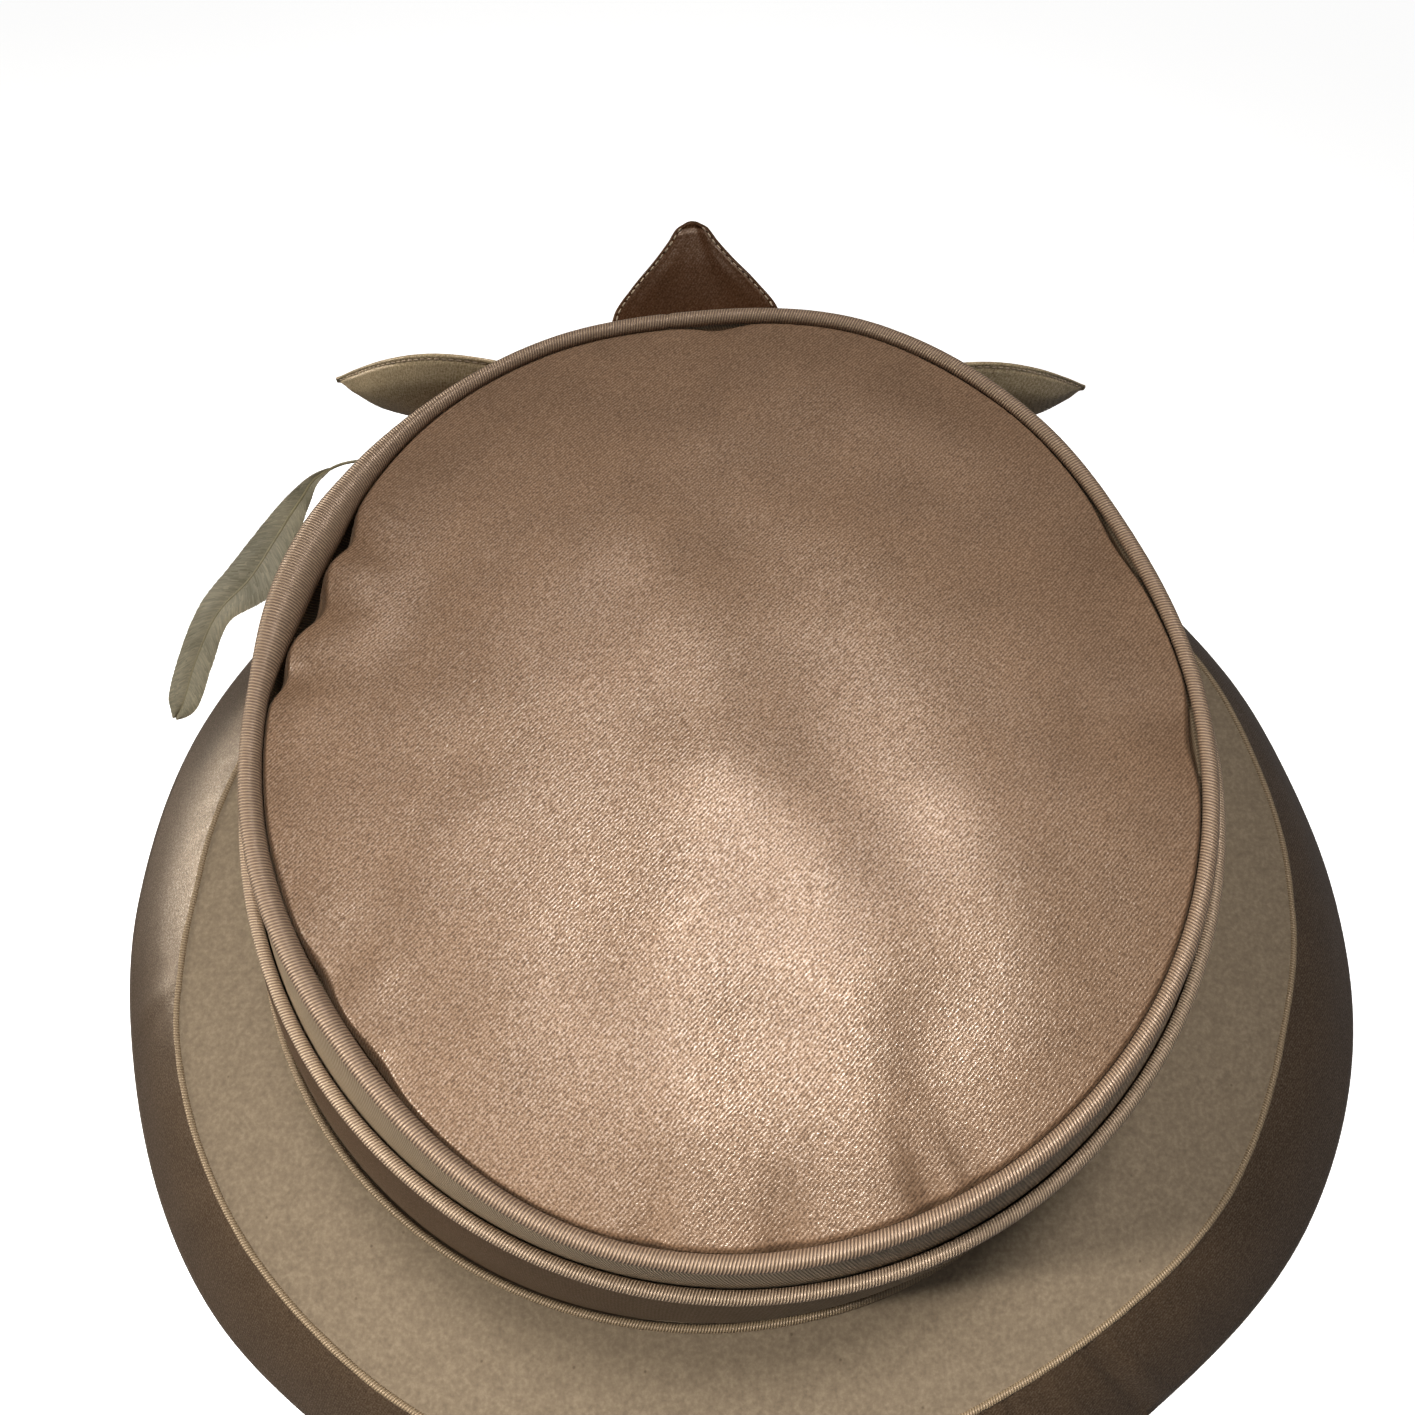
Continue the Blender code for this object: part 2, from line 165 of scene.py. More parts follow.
# Thickness of the tip piping: degrees from +X, share of PIPING_DIAMETER
PIPING_SWELL = (
    (-180, 1.20), (-165, 1.28), (-150, 1.25), (-125, 1.00), (-90, 0.90),
    (0, 0.90), (90, 1.00), (130, 1.05), (146, 1.72), (157, 2.40),
    (166, 2.25), (173, 1.70), (180, 1.20),
)

# Where the tip's satin is caught in its seam: degrees from +X, half spread in degrees,
# depth in metres, pull away from the piping in metres
TUCKS = (
    (165, 3.6, 0.0028, 0.0034),
    (154, 3.0, 0.0020, 0.0016),
    (176, 2.4, 0.0018, 0.0014),
    (-144, 3.5, 0.0013, 0.0006),
    (-132, 4.0, 0.0014, 0.0008),
    (-4, 4.5, 0.0014, 0.0012),
    (25, 5.0, 0.0010, 0.0006),
    (91, 3.4, 0.0012, 0.0008),
    (-98, 2.2, 0.0008, 0.0004),
    (-85, 2.0, 0.0011, 0.0006),
    (-70, 1.5, 0.0012, 0.0005),
    (-65, 1.5, 0.0008, 0.0004),
)

# Soft folds in the tip's satin: from and to as shares of the top's half width and half length,
# half spread and height in metres (a valley is below nought)
TIP_FOLDS = (
    (-0.40, 0.62, -0.23, 0.38, 0.011, 0.0003),
    (-0.23, 0.38, -0.06, 0.15, 0.012, 0.0005),
    (-0.06, 0.15, -0.04, -0.12, 0.012, 0.0005),
    (-0.04, -0.12, -0.09, -0.48, 0.012, 0.0004),
    (-0.09, -0.48, -0.06, -0.90, 0.012, 0.0004),
    (0.02, -0.14, 0.28, -0.46, 0.012, 0.0005),
    (0.24, -0.55, 0.27, -0.92, 0.009, 0.0005),
    (0.48, -0.20, 0.58, -0.60, 0.011, 0.0005),
    (0.20, 0.82, 0.63, 0.62, 0.009, 0.0004),
    (-0.02, 0.42, 0.33, -0.34, 0.013, -0.0005),
    (0.03, -0.62, 0.04, -0.94, 0.007, -0.0004),
    (0.36, -0.62, 0.38, -0.90, 0.007, -0.0004),
    (0.15, 0.55, 0.75, 0.35, 0.014, -0.0006),
    (0.76, -0.05, 0.98, -0.08, 0.008, -0.0006),
    (-0.80, -0.08, -0.58, -0.14, 0.007, -0.0005),
    (-0.83, -0.33, -0.70, -0.36, 0.006, -0.0005),
    (-0.66, -0.46, -0.54, -0.60, 0.007, -0.0005),
    (-0.72, 0.34, -0.60, 0.10, 0.009, -0.0004),
)

# Folds in the brim's satin edge: degrees from +X, slant in degrees, half spread in degrees, height in metres
EDGE_FOLDS = (
    (-52.0, 2.5, 0.9, 0.0009),
    (-54.2, 3.0, 0.8, -0.0011),
    (-58.5, 2.0, 1.2, 0.0006),
    (-63.0, 2.0, 0.9, -0.0006),
    (-45.0, 1.5, 1.3, 0.0005),
    (-146.0, -1.5, 1.6, 0.0004),
    (-168.0, 1.0, 1.8, 0.0005),
    (32.0, 1.5, 1.3, 0.0005),
    (74.0, -1.5, 1.2, 0.0005),
    (121.0, 1.5, 1.4, 0.0005),
    (152.0, -1.0, 1.2, 0.0004),
)

# Photograph's camera, from the fitted ellipses of the crown and brim
CAMERA_PLACE = (-0.0076, -0.1007, 0.3240)
CAMERA_TURN = (math.radians(26), 0.0, 0.0)
CAMERA_LENS = 33.07


def blend(low, high, share):
    return low + (high - low) * share


def smooth(share):
    share = min(1.0, max(0.0, share))
    return share * share * (3 - 2 * share)


def slope_at(table, place):
    """Slope of the smooth curve at one row of the table, which is level at its ends, peaks and dips."""
    if place in (0, len(table) - 1):
        return 0.0
    (before, low), (_, middle), (after, high) = table[place - 1:place + 2]
    if (middle - low) * (high - middle) <= 0:
        return 0.0
    return (high - low) / (after - before)


def look_up(table, where):
    """Smooth value of the table's second column at this place of its first."""
    place = 0
    while place < len(table) - 2 and where > table[place + 1][0]:
        place += 1
    (here, low), (there, high) = table[place:place + 2]
    share = min(1.0, max(0.0, (where - here) / (there - here)))
    rise = slope_at(table, place) * (there - here)
    fall = slope_at(table, place + 1) * (there - here)
    return blend(low, high, smooth(share)) + share * (1 - share) * (rise * (1 - share) - fall * share)


def degrees_of(angle):
    return (math.degrees(angle) + 180) % 360 - 180


def away_from(angle, degrees):
    """Signed degrees from this direction to the angle."""
    return (math.degrees(angle) - degrees + 180) % 360 - 180


def hump(away, spread):
    return math.exp(-((away / spread) ** 2))


def oval_reach(angle, half_width, half_length, shift_x=0.0, shift_y=0.0):
    """Distance from the crown's axis, in this direction, to an oval that is shifted from that axis."""
    ray = Vector((math.cos(angle) / half_width, math.sin(angle) / half_length))
    start = Vector((-shift_x / half_width, -shift_y / half_length))
    square = ray.dot(ray)
    along = ray.dot(start)
    return (-along + math.sqrt(along * along - square * (start.dot(start) - 1))) / square


def roll_line(angle):
    return oval_reach(angle, ROLL_HALF_WIDTH, ROLL_HALF_LENGTH, ROLL_SHIFT_SIDE)


def tip_line(angle):
    half_width = ROLL_HALF_WIDTH - TIP_TAPER_SIDES
    half_length = ROLL_HALF_LENGTH - TIP_TAPER_ENDS
    return oval_reach(angle, half_width, half_length) * look_up(TIP_OUTLINE, degrees_of(angle))


def foot_line(angle):
    half_width = ROLL_HALF_WIDTH + FOOT_FLARE_SIDES
    half_length = ROLL_HALF_LENGTH + FOOT_FLARE_ENDS
    return oval_reach(angle, half_width, half_length, FOOT_SHIFT_SIDE)


def edge_line(angle):
    half_width = ROLL_HALF_WIDTH + BRIM_REACH_SIDES
    half_length = ROLL_HALF_LENGTH + BRIM_REACH_ENDS
    oval = oval_reach(angle, half_width, half_length, -CROWN_SHIFT_SIDE, -CROWN_SHIFT_BACK)
    return oval * look_up(EDGE_OUTLINE, degrees_of(angle))


def seam_line(angle):
    return edge_line(angle) - SATIN_REACH * look_up(SATIN_SHARES, degrees_of(angle))


def piping_radius(angle):
    return PIPING_DIAMETER / 2 * look_up(PIPING_SWELL, degrees_of(angle))


def round_the_crown(angle, reach, height):
    across = CROWN_SHIFT_SIDE + reach * math.cos(angle)
    back = CROWN_SHIFT_BACK + reach * math.sin(angle)
    return Vector((across, back, height))


def steps_round(count):
    return [math.tau * step / count for step in range(count)]


def even_shares(count):
    """Places from 0 to 1, this many equal steps apart."""
    return [step / count for step in range(count + 1)]


def new_piece(name, points, faces, corners=()):
    """A smooth surface from its points and faces, with the places of the faces' corners in the weave."""
    mesh = bpy.data.meshes.new(name)
    mesh.from_pydata([tuple(point) for point in points], [], faces)
    if corners:
        weave = mesh.uv_layers.new(name="weave")
        weave.data.foreach_set("uv", [value for corner in corners for value in corner])
    mesh.shade_smooth()
    piece = bpy.data.objects.new(name, mesh)
    bpy.context.scene.collection.objects.link(piece)
    return piece


def add_grid(name, rows, along, across, wrap_rows, wrap_columns):
    """A surface through rows of points. along and across give the places of rows and columns in the weave,
    in metres, with one more value than points where the surface closes on itself."""
    row_count = len(rows)
    column_count = len(rows[0])
    turn = ((0, 0), (1, 0), (1, 1), (0, 1))
    faces = []
    corners = []
    for row in range(row_count if wrap_rows else row_count - 1):
        for column in range(column_count if wrap_columns else column_count - 1):
            faces.append([
                (row + down) % row_count * column_count + (column + right) % column_count
                for down, right in turn
            ])
            corners.extend((along[row + down], across[column + right]) for down, right in turn)
    return new_piece(name, [point for row in rows for point in row], faces, corners)


def close_middle(piece):
    """Closes the small hole where the rows of a round surface start, and leaves its wide rim open."""
    widest_hole = 0.0001
    build = bmesh.new()
    build.from_mesh(piece.data)
    bmesh.ops.holes_fill(build, edges=[edge for edge in build.edges if edge.is_boundary], sides=0)
    rim = [face for face in build.faces if len(face.verts) > 4 and face.calc_area() > widest_hole]
    bmesh.ops.delete(build, geom=rim, context="FACES_ONLY")
    build.to_mesh(piece.data)
    build.free()


def turn_outwards(piece):
    """Makes every face look out of a closed surface."""
    mesh = piece.data
    volume = 0.0
    for polygon in mesh.polygons:
        volume += polygon.center.dot(polygon.normal) * polygon.area
    if volume < 0:
        mesh.flip_normals()
    return piece


def give_thickness(piece, thickness):
    """Thickens a surface on its inner side."""
    solidify = piece.modifiers.new("cloth thickness", "SOLIDIFY")
    solidify.thickness = thickness
    solidify.offset = -1.0


def finish_piece(piece, material, slot, *nodes):
    """Coats the piece, puts it in place of its solids, and lets it move with them."""
    piece.data.materials.append(material)
    if nodes:
        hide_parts(*nodes)
    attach(piece, "root")


# Materials

def linear(colour):
    """Linear red, green, blue and alpha of an sRGB hex colour."""
    channels = [int(colour[place:place + 2], 16) / 255 for place in (1, 3, 5)]
    return [c / 12.92 if c <= 0.04045 else ((c + 0.055) / 1.055) ** 2.4 for c in channels] + [1.0]


def new_material(name, **values):
    """A material and its shader, with the values that are the same all over it."""
    material = bpy.data.materials.new(name)
    material.use_nodes = True
    shader = material.node_tree.nodes["Principled BSDF"]
    for socket, value in values.items():
        shader.inputs[socket.replace("_", " ")].default_value = value
    return material, shader


def feed(material, shader, **sources):
    """Links values that change over the surface into the shader."""
    for socket, source in sources.items():
        material.node_tree.links.new(source, shader.inputs[socket.replace("_", " ")])
    return material


def add_node(tree, kind, values=(), links=(), **settings):
    """Adds a node with its settings, the values of its sockets and the links into them."""
    node = tree.nodes.new(kind)
    for name, value in settings.items():
        setattr(node, name, value)
    for socket, value in dict(values).items():
        node.inputs[socket].default_value = value
    for socket, source in dict(links).items():
        tree.links.new(source, node.inputs[socket])
    return node


def place_of(material):
    """Place on the piece, in metres."""
    return add_node(material.node_tree, "ShaderNodeTexCoord").outputs["Object"]


def weave_of(material):
    """Place in the cloth's weave, in metres along and across it."""
    return add_node(material.node_tree, "ShaderNodeUVMap", uv_map="weave").outputs["UV"]


def mapped(place, **values):
    """The same place, turned or stretched."""
    return add_node(place.id_data, "ShaderNodeMapping", values, {"Vector": place}).outputs["Vector"]


def soft_noise(place, size, detail, roughness=0.5):
    """Random values from 0 to 1 in features that are about this many metres across."""
    values = {"Scale": 1 / size, "Detail": detail, "Roughness": roughness}
    return add_node(place.id_data, "ShaderNodeTexNoise", values, {"Vector": place}).outputs["Fac"]


def fine_lines(place, spacing, distortion, detail, detail_scale):
    """Values from 0 to 1 in parallel lines that are this many metres apart."""
    values = {
        "Scale": math.tau / 20 / spacing,
        "Distortion": distortion,
        "Detail": detail,
        "Detail Scale": detail_scale,
    }
    settings = {"wave_type": "BANDS", "bands_direction": "X"}
    return add_node(place.id_data, "ShaderNodeTexWave", values, {"Vector": place}, **settings).outputs["Fac"]


def ramp(value, *stops):
    """Colour for this value, between stops that are given as place and sRGB hex colour."""
    node = add_node(value.id_data, "ShaderNodeValToRGB", {}, {"Fac": value})
    elements = node.color_ramp.elements
    while len(elements) < len(stops):
        elements.new(0.5)
    for element, (place, colour) in zip(elements, stops):
        element.position = place
        element.color = linear(colour)
    return node.outputs["Color"]


def rescaled(value, low, high, new_low, new_high):
    """The value, moved from one range to another and held inside it."""
    values = {"From Min": low, "From Max": high, "To Min": new_low, "To Max": new_high}
    return add_node(value.id_data, "ShaderNodeMapRange", values, {"Value": value}).outputs["Result"]


def weighted_sum(value, weight, other):
    """value times weight, plus other."""
    links = {0: value, 2: other}
    summed = add_node(value.id_data, "ShaderNodeMath", {1: weight}, links, operation="MULTIPLY_ADD")
    return summed.outputs["Value"]


def product(first, second):
    """The two values, multiplied."""
    links = {0: first, 1: second}
    return add_node(first.id_data, "ShaderNodeMath", {}, links, operation="MULTIPLY").outputs["Value"]


def multiplied(first, second, share=1.0):
    """First colour, multiplied by this share of the second."""
    links = {"Color1": first, "Color2": second}
    mixed = add_node(first.id_data, "ShaderNodeMixRGB", {"Fac": share}, links, blend_type="MULTIPLY")
    return mixed.outputs["Color"]


def raised(height, strength, distance):
    """Surface that stands up by this height, times a distance in metres."""
    values = {"Strength": strength, "Distance": distance}
    return add_node(height.id_data, "ShaderNodeBump", values, {"Height": height}).outputs["Normal"]


def woven_satin(name, dark, light, lines, gloss, grain):
    """Woven polyester satin, steamed flat: fine diagonal twill lines, a grain of small glints where floating
    threads catch the light, and broad soft highlights along its folds."""
    material, shader = new_material(
        name,
        Specular_IOR_Level=gloss,
        IOR=1.7,
        Sheen_Weight=0.05 * gloss,
        Sheen_Roughness=0.35,
        Sheen_Tint=linear("#E8CDB4"),
    )
    place = place_of(material)
    # Twill lines are 0.25 mm apart in such cloth, and are drawn 0.55 mm apart so that they show
    slanted = mapped(place, Rotation=(0.0, 0.0, math.radians(42)))
    twill = fine_lines(slanted, spacing=0.00055, distortion=2.4, detail=2.0, detail_scale=1.8)
    # Floating threads are a fraction of a millimetre long, and are drawn 0.45 mm long
    glints = soft_noise(place, size=0.00045, detail=2.0, roughness=0.7)
    thread = weighted_sum(twill, lines, glints)
    # The base colour follows the threads' height: lighter on their crests and glints, darker in the gaps, so
    # painted glints and painted shade lie over the weave's own twill lines
    tone = ramp(thread, (0.30 + 0.2 * lines, dark), (0.62 + 0.7 * lines, light))
    cloudy = soft_noise(place, size=0.012, detail=3.0)
    drift = rescaled(cloudy, 0.3, 0.7, 0.92, 1.08)
    # Crests of the threads shine, and the gaps between them do not
    glint = ramp(
        thread,
        (0.42 + 0.3 * lines, "#8E7A6A"),
        (0.56 + 0.6 * lines, "#C8B3A0"),
        (0.64 + 0.7 * lines, "#FFF8F0"),
    )
    return feed(
        material, shader,
        Base_Color=multiplied(tone, drift),
        Specular_Tint=glint,
        Roughness=rescaled(thread, 0.35, 0.65 + lines, 0.44, 0.30),
        Normal=raised(thread, strength=grain, distance=0.00008),
    )


def corded_satin(name, dark, light, spacing, gloss):
    """Satin cut on the cross and sewn round a cord: fine ribs that run round the cord, with a painted
    highlight on their crests and painted shade between them."""
    material, shader = new_material(
        name,
        Roughness=0.38,
        Specular_IOR_Level=gloss,
        Specular_Tint=linear("#FFE4CF"),
        IOR=1.64,
        Sheen_Weight=0.05,
        Sheen_Roughness=0.35,
        Sheen_Tint=linear("#E8CDB4"),
    )
    # Ribs are 0.5 mm apart, and are drawn a little coarser so that each one shows
    slanted = mapped(weave_of(material), Rotation=(0.0, 0.0, math.radians(14)))
    ribs = fine_lines(slanted, spacing, distortion=0.5, detail=1.0, detail_scale=0.6)
    worn = soft_noise(place_of(material), size=0.0012, detail=3.0)
    # The ribs' base colour is lighter on their crests and darker between them: painted highlight and painted
    # shade
    rib = product(ribs, rescaled(worn, 0.25, 0.75, 0.55, 1.0))
    return feed(
        material, shader,
        Base_Color=ramp(rib, (0.05, dark), (0.80, light)),
        Normal=raised(rib, strength=1.0, distance=0.00018),
    )


def wool_felt():
    """Blocked wool felt: matted fibres with a short nap, which gives a matt, faintly mottled face with
    stray darker hairs and a soft bright rim."""
    material, shader = new_material(
        "blocked_wool_felt",
        Roughness=0.96,
        Specular_IOR_Level=0.25,
        IOR=1.54,
        Sheen_Weight=0.35,
        Sheen_Roughness=0.6,
        Sheen_Tint=linear("#CDBFA2"),
    )
    place = place_of(material)
    # Fibres are 0.02 mm thick, and are drawn as tufts 1 mm across
    tufts = soft_noise(place, size=0.0010, detail=5.0, roughness=0.65)
    mottle = soft_noise(place, size=0.0028, detail=3.0)
    mixed = weighted_sum(mottle, 0.35, tufts)
    tone = ramp(mixed, (0.50, "#6A5D4D"), (0.68, "#766856"), (0.86, "#837562"))
    spots = {"Scale": 1 / 0.006, "Randomness": 1.0}
    hairs = add_node(place.id_data, "ShaderNodeTexVoronoi", spots, {"Vector": place}, feature="F1")
    speck = ramp(hairs.outputs["Distance"], (0.03, "#8A7C68"), (0.07, "#FFFFFF"))
    return feed(
        material, shader,
        Base_Color=multiplied(tone, speck, share=0.5),
        Normal=raised(tufts, strength=0.35, distance=0.0003),
    )


def dyed_vane():
    """Dyed goose feather: fine barbs side by side, which show as long streaks from straw to grey green."""
    material, shader = new_material(
        "dyed_feather_vane",
        Roughness=0.6,
        Specular_IOR_Level=0.35,
        IOR=1.54,
        Sheen_Weight=0.15,
        Sheen_Roughness=0.5,
        Sheen_Tint=linear("#D8D3B8"),
    )
    stretched = mapped(weave_of(material), Scale=(1.0, 0.08, 1.0))
    streaks = soft_noise(stretched, size=0.0006, detail=3.0)
    patches = soft_noise(place_of(material), size=0.012, detail=2.0)
    mixed = weighted_sum(patches, 0.6, streaks)
    return feed(
        material, shader,
        Base_Color=ramp(mixed, (0.55, "#6F6A54"), (0.80, "#8D8670"), (1.00, "#A39A80")),
        Normal=raised(streaks, strength=0.4, distance=0.0001),
    )


def plain_thread(name, colour, roughness):
    """Polyester sewing thread or bare quill: one colour with a slight wander, and a soft gloss."""
    material, shader = new_material(name, Roughness=roughness, IOR=1.5)
    uneven = soft_noise(place_of(material), size=0.002, detail=2.0)
    strength = rescaled(uneven, 0.3, 0.7, 0.85, 1.1)
    values = {"Fac": 1.0, "Color1": linear(colour)}
    links = {"Color2": strength}
    mixed = add_node(strength.id_data, "ShaderNodeMixRGB", values, links, blend_type="MULTIPLY")
    return feed(material, shader, Base_Color=mixed.outputs["Color"])


# Rings round the crown

def add_ring(name, outline, steps):
    """A closed ring round the crown. outline(angle) gives its closed outline there, as pairs of reach and
    height."""
    angles = steps_round(steps)
    sections = [outline(angle) for angle in angles]
    rows = []
    along = [0.0]
    for angle, section in zip(angles, sections):
        rows.append([round_the_crown(angle, reach, height) for reach, height in section])
        along.append(along[-1] + section[0][0] * math.tau / steps)
    across = [0.0]
    first = sections[0]
    for (reach, height), (next_reach, next_height) in zip(first, first[1:] + first[:1]):
        across.append(across[-1] + math.hypot(next_reach - reach, next_height - height))
    piece = add_grid(name, rows, along, across, True, True)
    piece.data.set_sharp_from_angle(angle=SHARP_ANGLE)
    return turn_outwards(piece)


def add_cord(name, node, material, centre, radius, sides=16):
    """A round cord in a closed loop, in place of one solid. centre(angle) is its reach and height, and
    radius(angle) half its thickness."""

    def outline(angle):
        reach, height = centre(angle)
        half = radius(angle)
        turns = steps_round(sides)
        return [(reach + half * math.cos(turn), height + half * math.sin(turn)) for turn in turns]

    finish_piece(add_ring(name, outline, CORD_STEPS), material, "cord", node)


def wander(angle, height, size, seed):
    """Smooth random value between about -1 and 1 over the crown, the same each run."""
    place = Vector((math.cos(angle), math.sin(angle), 0.0)) * WANDER_REACH
    return noise.noise(Vector((place.x, place.y, height)) / size + Vector((seed, seed, seed)))


def make_tip_piping(material):
    """Corded piping round the crown's top, with a notch where its ends meet."""
    join = math.radians(PIPING_JOIN)

    def radius(angle):
        notch = JOIN_DEPTH * hump(math.degrees(angle - join), JOIN_SPREAD)
        uneven = PIPING_UNEVENNESS * wander(angle, 0.0, size=0.012, seed=3.0)
        return piping_radius(angle) * (1 + uneven - notch)

    def centre(angle):
        return tip_line(angle) - piping_radius(angle), CROWN_TOP + piping_radius(angle)

    add_cord("tip_cord", "tip_piping", material, centre, radius, sides=20)


def make_band_roll(material):
    def centre(angle):
        return roll_line(angle) - ROLL_DIAMETER / 2, ROLL_CENTRE

    add_cord("band_cord", "band_roll", material, centre, lambda angle: ROLL_DIAMETER / 2)


def make_base_trim(material):
    def centre(angle):
        return foot_line(angle) + GAP + TRIM_DIAMETER / 2, FELT_TOP + TRIM_DIAMETER / 2

    add_cord("trim_cord", "base_trim", material, centre, lambda angle: TRIM_DIAMETER / 2, sides=12)


def make_seam_piping(material):
    """The seam's cord wanders a little and swells where it is stitched."""

    def radius(angle):
        stitch = SEAM_UNEVENNESS * wander(angle, 0.0, size=0.004, seed=9.0)
        return SEAM_DIAMETER / 2 * (1 + stitch)

    def centre(angle):
        slack = SEAM_SLACK * wander(angle, 0.0, size=0.008, seed=5.0)
        return seam_line(angle) + slack, SEAM_HEIGHT + SEAM_STANDING - SEAM_DIAMETER / 2

    add_cord("seam_cord", "seam_piping", material, centre, radius, sides=10)


def make_crown_wall(material):
    """Standing wall: a ribbed strip shows above the band, and the rest is inside it. Its seam allowance
    is turned in under the edge of the crown's top."""

    def outline(angle):
        top = tip_line(angle) - WALL_TOP_INSET
        waist = roll_line(angle) - ROLL_DIAMETER - GAP
        foot = foot_line(angle) - BAND_THICKNESS - GAP
        outer = []
        for share in even_shares(STRIP_ROWS):
            height = blend(CROWN_TOP - GAP, ROLL_CENTRE, share)
            outer.append((blend(top, waist, share) + STRIP_BELLY * math.sin(math.pi * share), height))
        outer.append((foot, FELT_TOP + GAP))
        face = top - WALL_THICKNESS
        end = face - SEAM_ALLOWANCE
        inner = [
            (foot - WALL_THICKNESS, FELT_TOP + GAP),
            (waist - WALL_THICKNESS, ROLL_CENTRE),
            (face, CROWN_TOP - ALLOWANCE_AT_WALL[1]),
            (end, CROWN_TOP - ALLOWANCE_AT_END[1]),
            (end, CROWN_TOP - ALLOWANCE_AT_END[0]),
            (face, CROWN_TOP - ALLOWANCE_AT_WALL[0]),
            (face, CROWN_TOP - GAP),
        ]
        return outer + inner

    piece = add_ring("wall_cloth", outline, WALL_STEPS)
    finish_piece(piece, material, "satin", "crown_wall")


def band_reach(angle, height):
    """Distance from the crown's axis to the band's outer face."""
    up = (height - FELT_TOP) / (ROLL_CENTRE - FELT_TOP)
    straight = blend(foot_line(angle), roll_line(angle) - BAND_TOP_INSET, up)
    return straight + BAND_BELLY * math.sin(math.pi * up)


def make_hat_band(material):
    """Satin band, drawn tight at its top and foot, with faint slack between them."""
    low = FELT_TOP + GAP
    high = ROLL_CENTRE - ROLL_DIAMETER / 2 - GAP

    def outline(angle):
        outer = []
        for share in even_shares(BAND_ROWS):
            height = blend(high, low, share)
            slack = BAND_SLACK * math.sin(math.pi * share)
            ripple = slack * (1 + wander(angle, height * 0.6, size=0.020, seed=1.0))
            outer.append((band_reach(angle, height) + ripple, height))
        return outer + [(reach - BAND_THICKNESS, height) for reach, height in reversed(outer)]

    piece = add_ring("band_cloth", outline, WALL_STEPS)
    finish_piece(piece, material, "satin", "hat_band")


def make_brim_felt(material):
    """Felt brim, level under the crown and falling to the seam, with the faint waves of blocked felt."""

    def outline(angle):
        head = foot_line(angle) - BAND_THICKNESS - GAP - WALL_THICKNESS
        trim = foot_line(angle) + TRIM_DIAMETER + 2 * GAP
        seam = seam_line(angle) - SEAM_OPENING
        top = [(head, FELT_TOP)]
        for share in even_shares(FELT_ROWS):
            reach = blend(trim, seam, share)
            wave = FELT_WAVE * math.sin(math.pi * share) * wander(angle, reach, size=0.030, seed=7.0)
            top.append((reach, SEAM_HEIGHT + FELT_RISE * look_up(FELT_SLOPE, share) + wave))
        return top + [(reach, height - FELT_THICKNESS) for reach, height in reversed(top)]

    piece = add_ring("felt_cloth", outline, WALL_STEPS)
    finish_piece(piece, material, "felt", "brim_felt")


def edge_fold(angle, share):
    """Height of the satin edge's folds at this share of the way from the seam to the hem."""
    total = 0.0
    for degrees, slant, spread, height in EDGE_FOLDS:
        total += height * hump(away_from(angle, degrees + slant * share), spread * (0.7 + 0.6 * share))
    gather = EDGE_GATHER * wander(angle, share * 0.02, size=0.0035, seed=2.0) * (1 - share) ** 2
    return total * math.sin(math.pi * (0.15 + 0.75 * share)) + gather


def make_brim_edge(material):
    """Sloping satin edge, gathered a little at the seam, with a flat foot on the resting plane."""

    def outline(angle):
        start = seam_line(angle) + SEAM_OPENING
        end = edge_line(angle)
        top = []
        under = []
        for part in even_shares(EDGE_ROWS):
            share = NOSE_SHARE * part
            fold = FOLD_LEAN * edge_fold(angle, share)
            reach = blend(start, end, share) + fold
            height = blend(SEAM_HEIGHT, EDGE_NOSE, share) + SATIN_BULGE * math.sin(math.pi * share) + fold
            lean = min(1.0, 3 * share)
            inwards = 0.75 * lean * EDGE_THICKNESS
            down = (1 - 0.3 * lean) * EDGE_THICKNESS
            top.append((reach, height))
            under.append((reach - inwards, height - down))
        nose = [
            (end - EDGE_NOSE / 2 * (1 - math.cos(turn)), EDGE_NOSE * (1 - math.sin(turn)))
            for turn in (0.0, 0.4, 0.8, 1.2, math.pi / 2)
        ]
        heel = end - EDGE_NOSE / 2
        return top + nose + [(heel - FOOT_WIDTH, 0.0)] + under[-2::-1]

    piece = add_ring("edge_cloth", outline, EDGE_STEPS)
    finish_piece(piece, material, "satin", "brim_edge")


# Crown's top

def fold_height(x, y):
    """Sum of the soft folds of the crown's top at this place, in metres from the crown's axis."""
    half_width = ROLL_HALF_WIDTH - TIP_TAPER_SIDES
    half_length = ROLL_HALF_LENGTH - TIP_TAPER_ENDS
    total = 0.0
    for from_x, from_y, to_x, to_y, spread, height in TIP_FOLDS:
        ax, ay = from_x * half_width, from_y * half_length
        bx, by = to_x * half_width - ax, to_y * half_length - ay
        share = min(1.0, max(0.0, ((x - ax) * bx + (y - ay) * by) / (bx * bx + by * by)))
        square = (x - ax - bx * share) ** 2 + (y - ay - by * share) ** 2
        total += height * math.exp(-square / spread**2)
    return total


def tuck_depth(angle):
    return sum(depth * hump(away_from(angle, degrees), spread) for degrees, spread, depth, _ in TUCKS)


def tuck_pull(angle):
    return sum(pull * hump(away_from(angle, degrees), spread) for degrees, spread, _, pull in TUCKS)


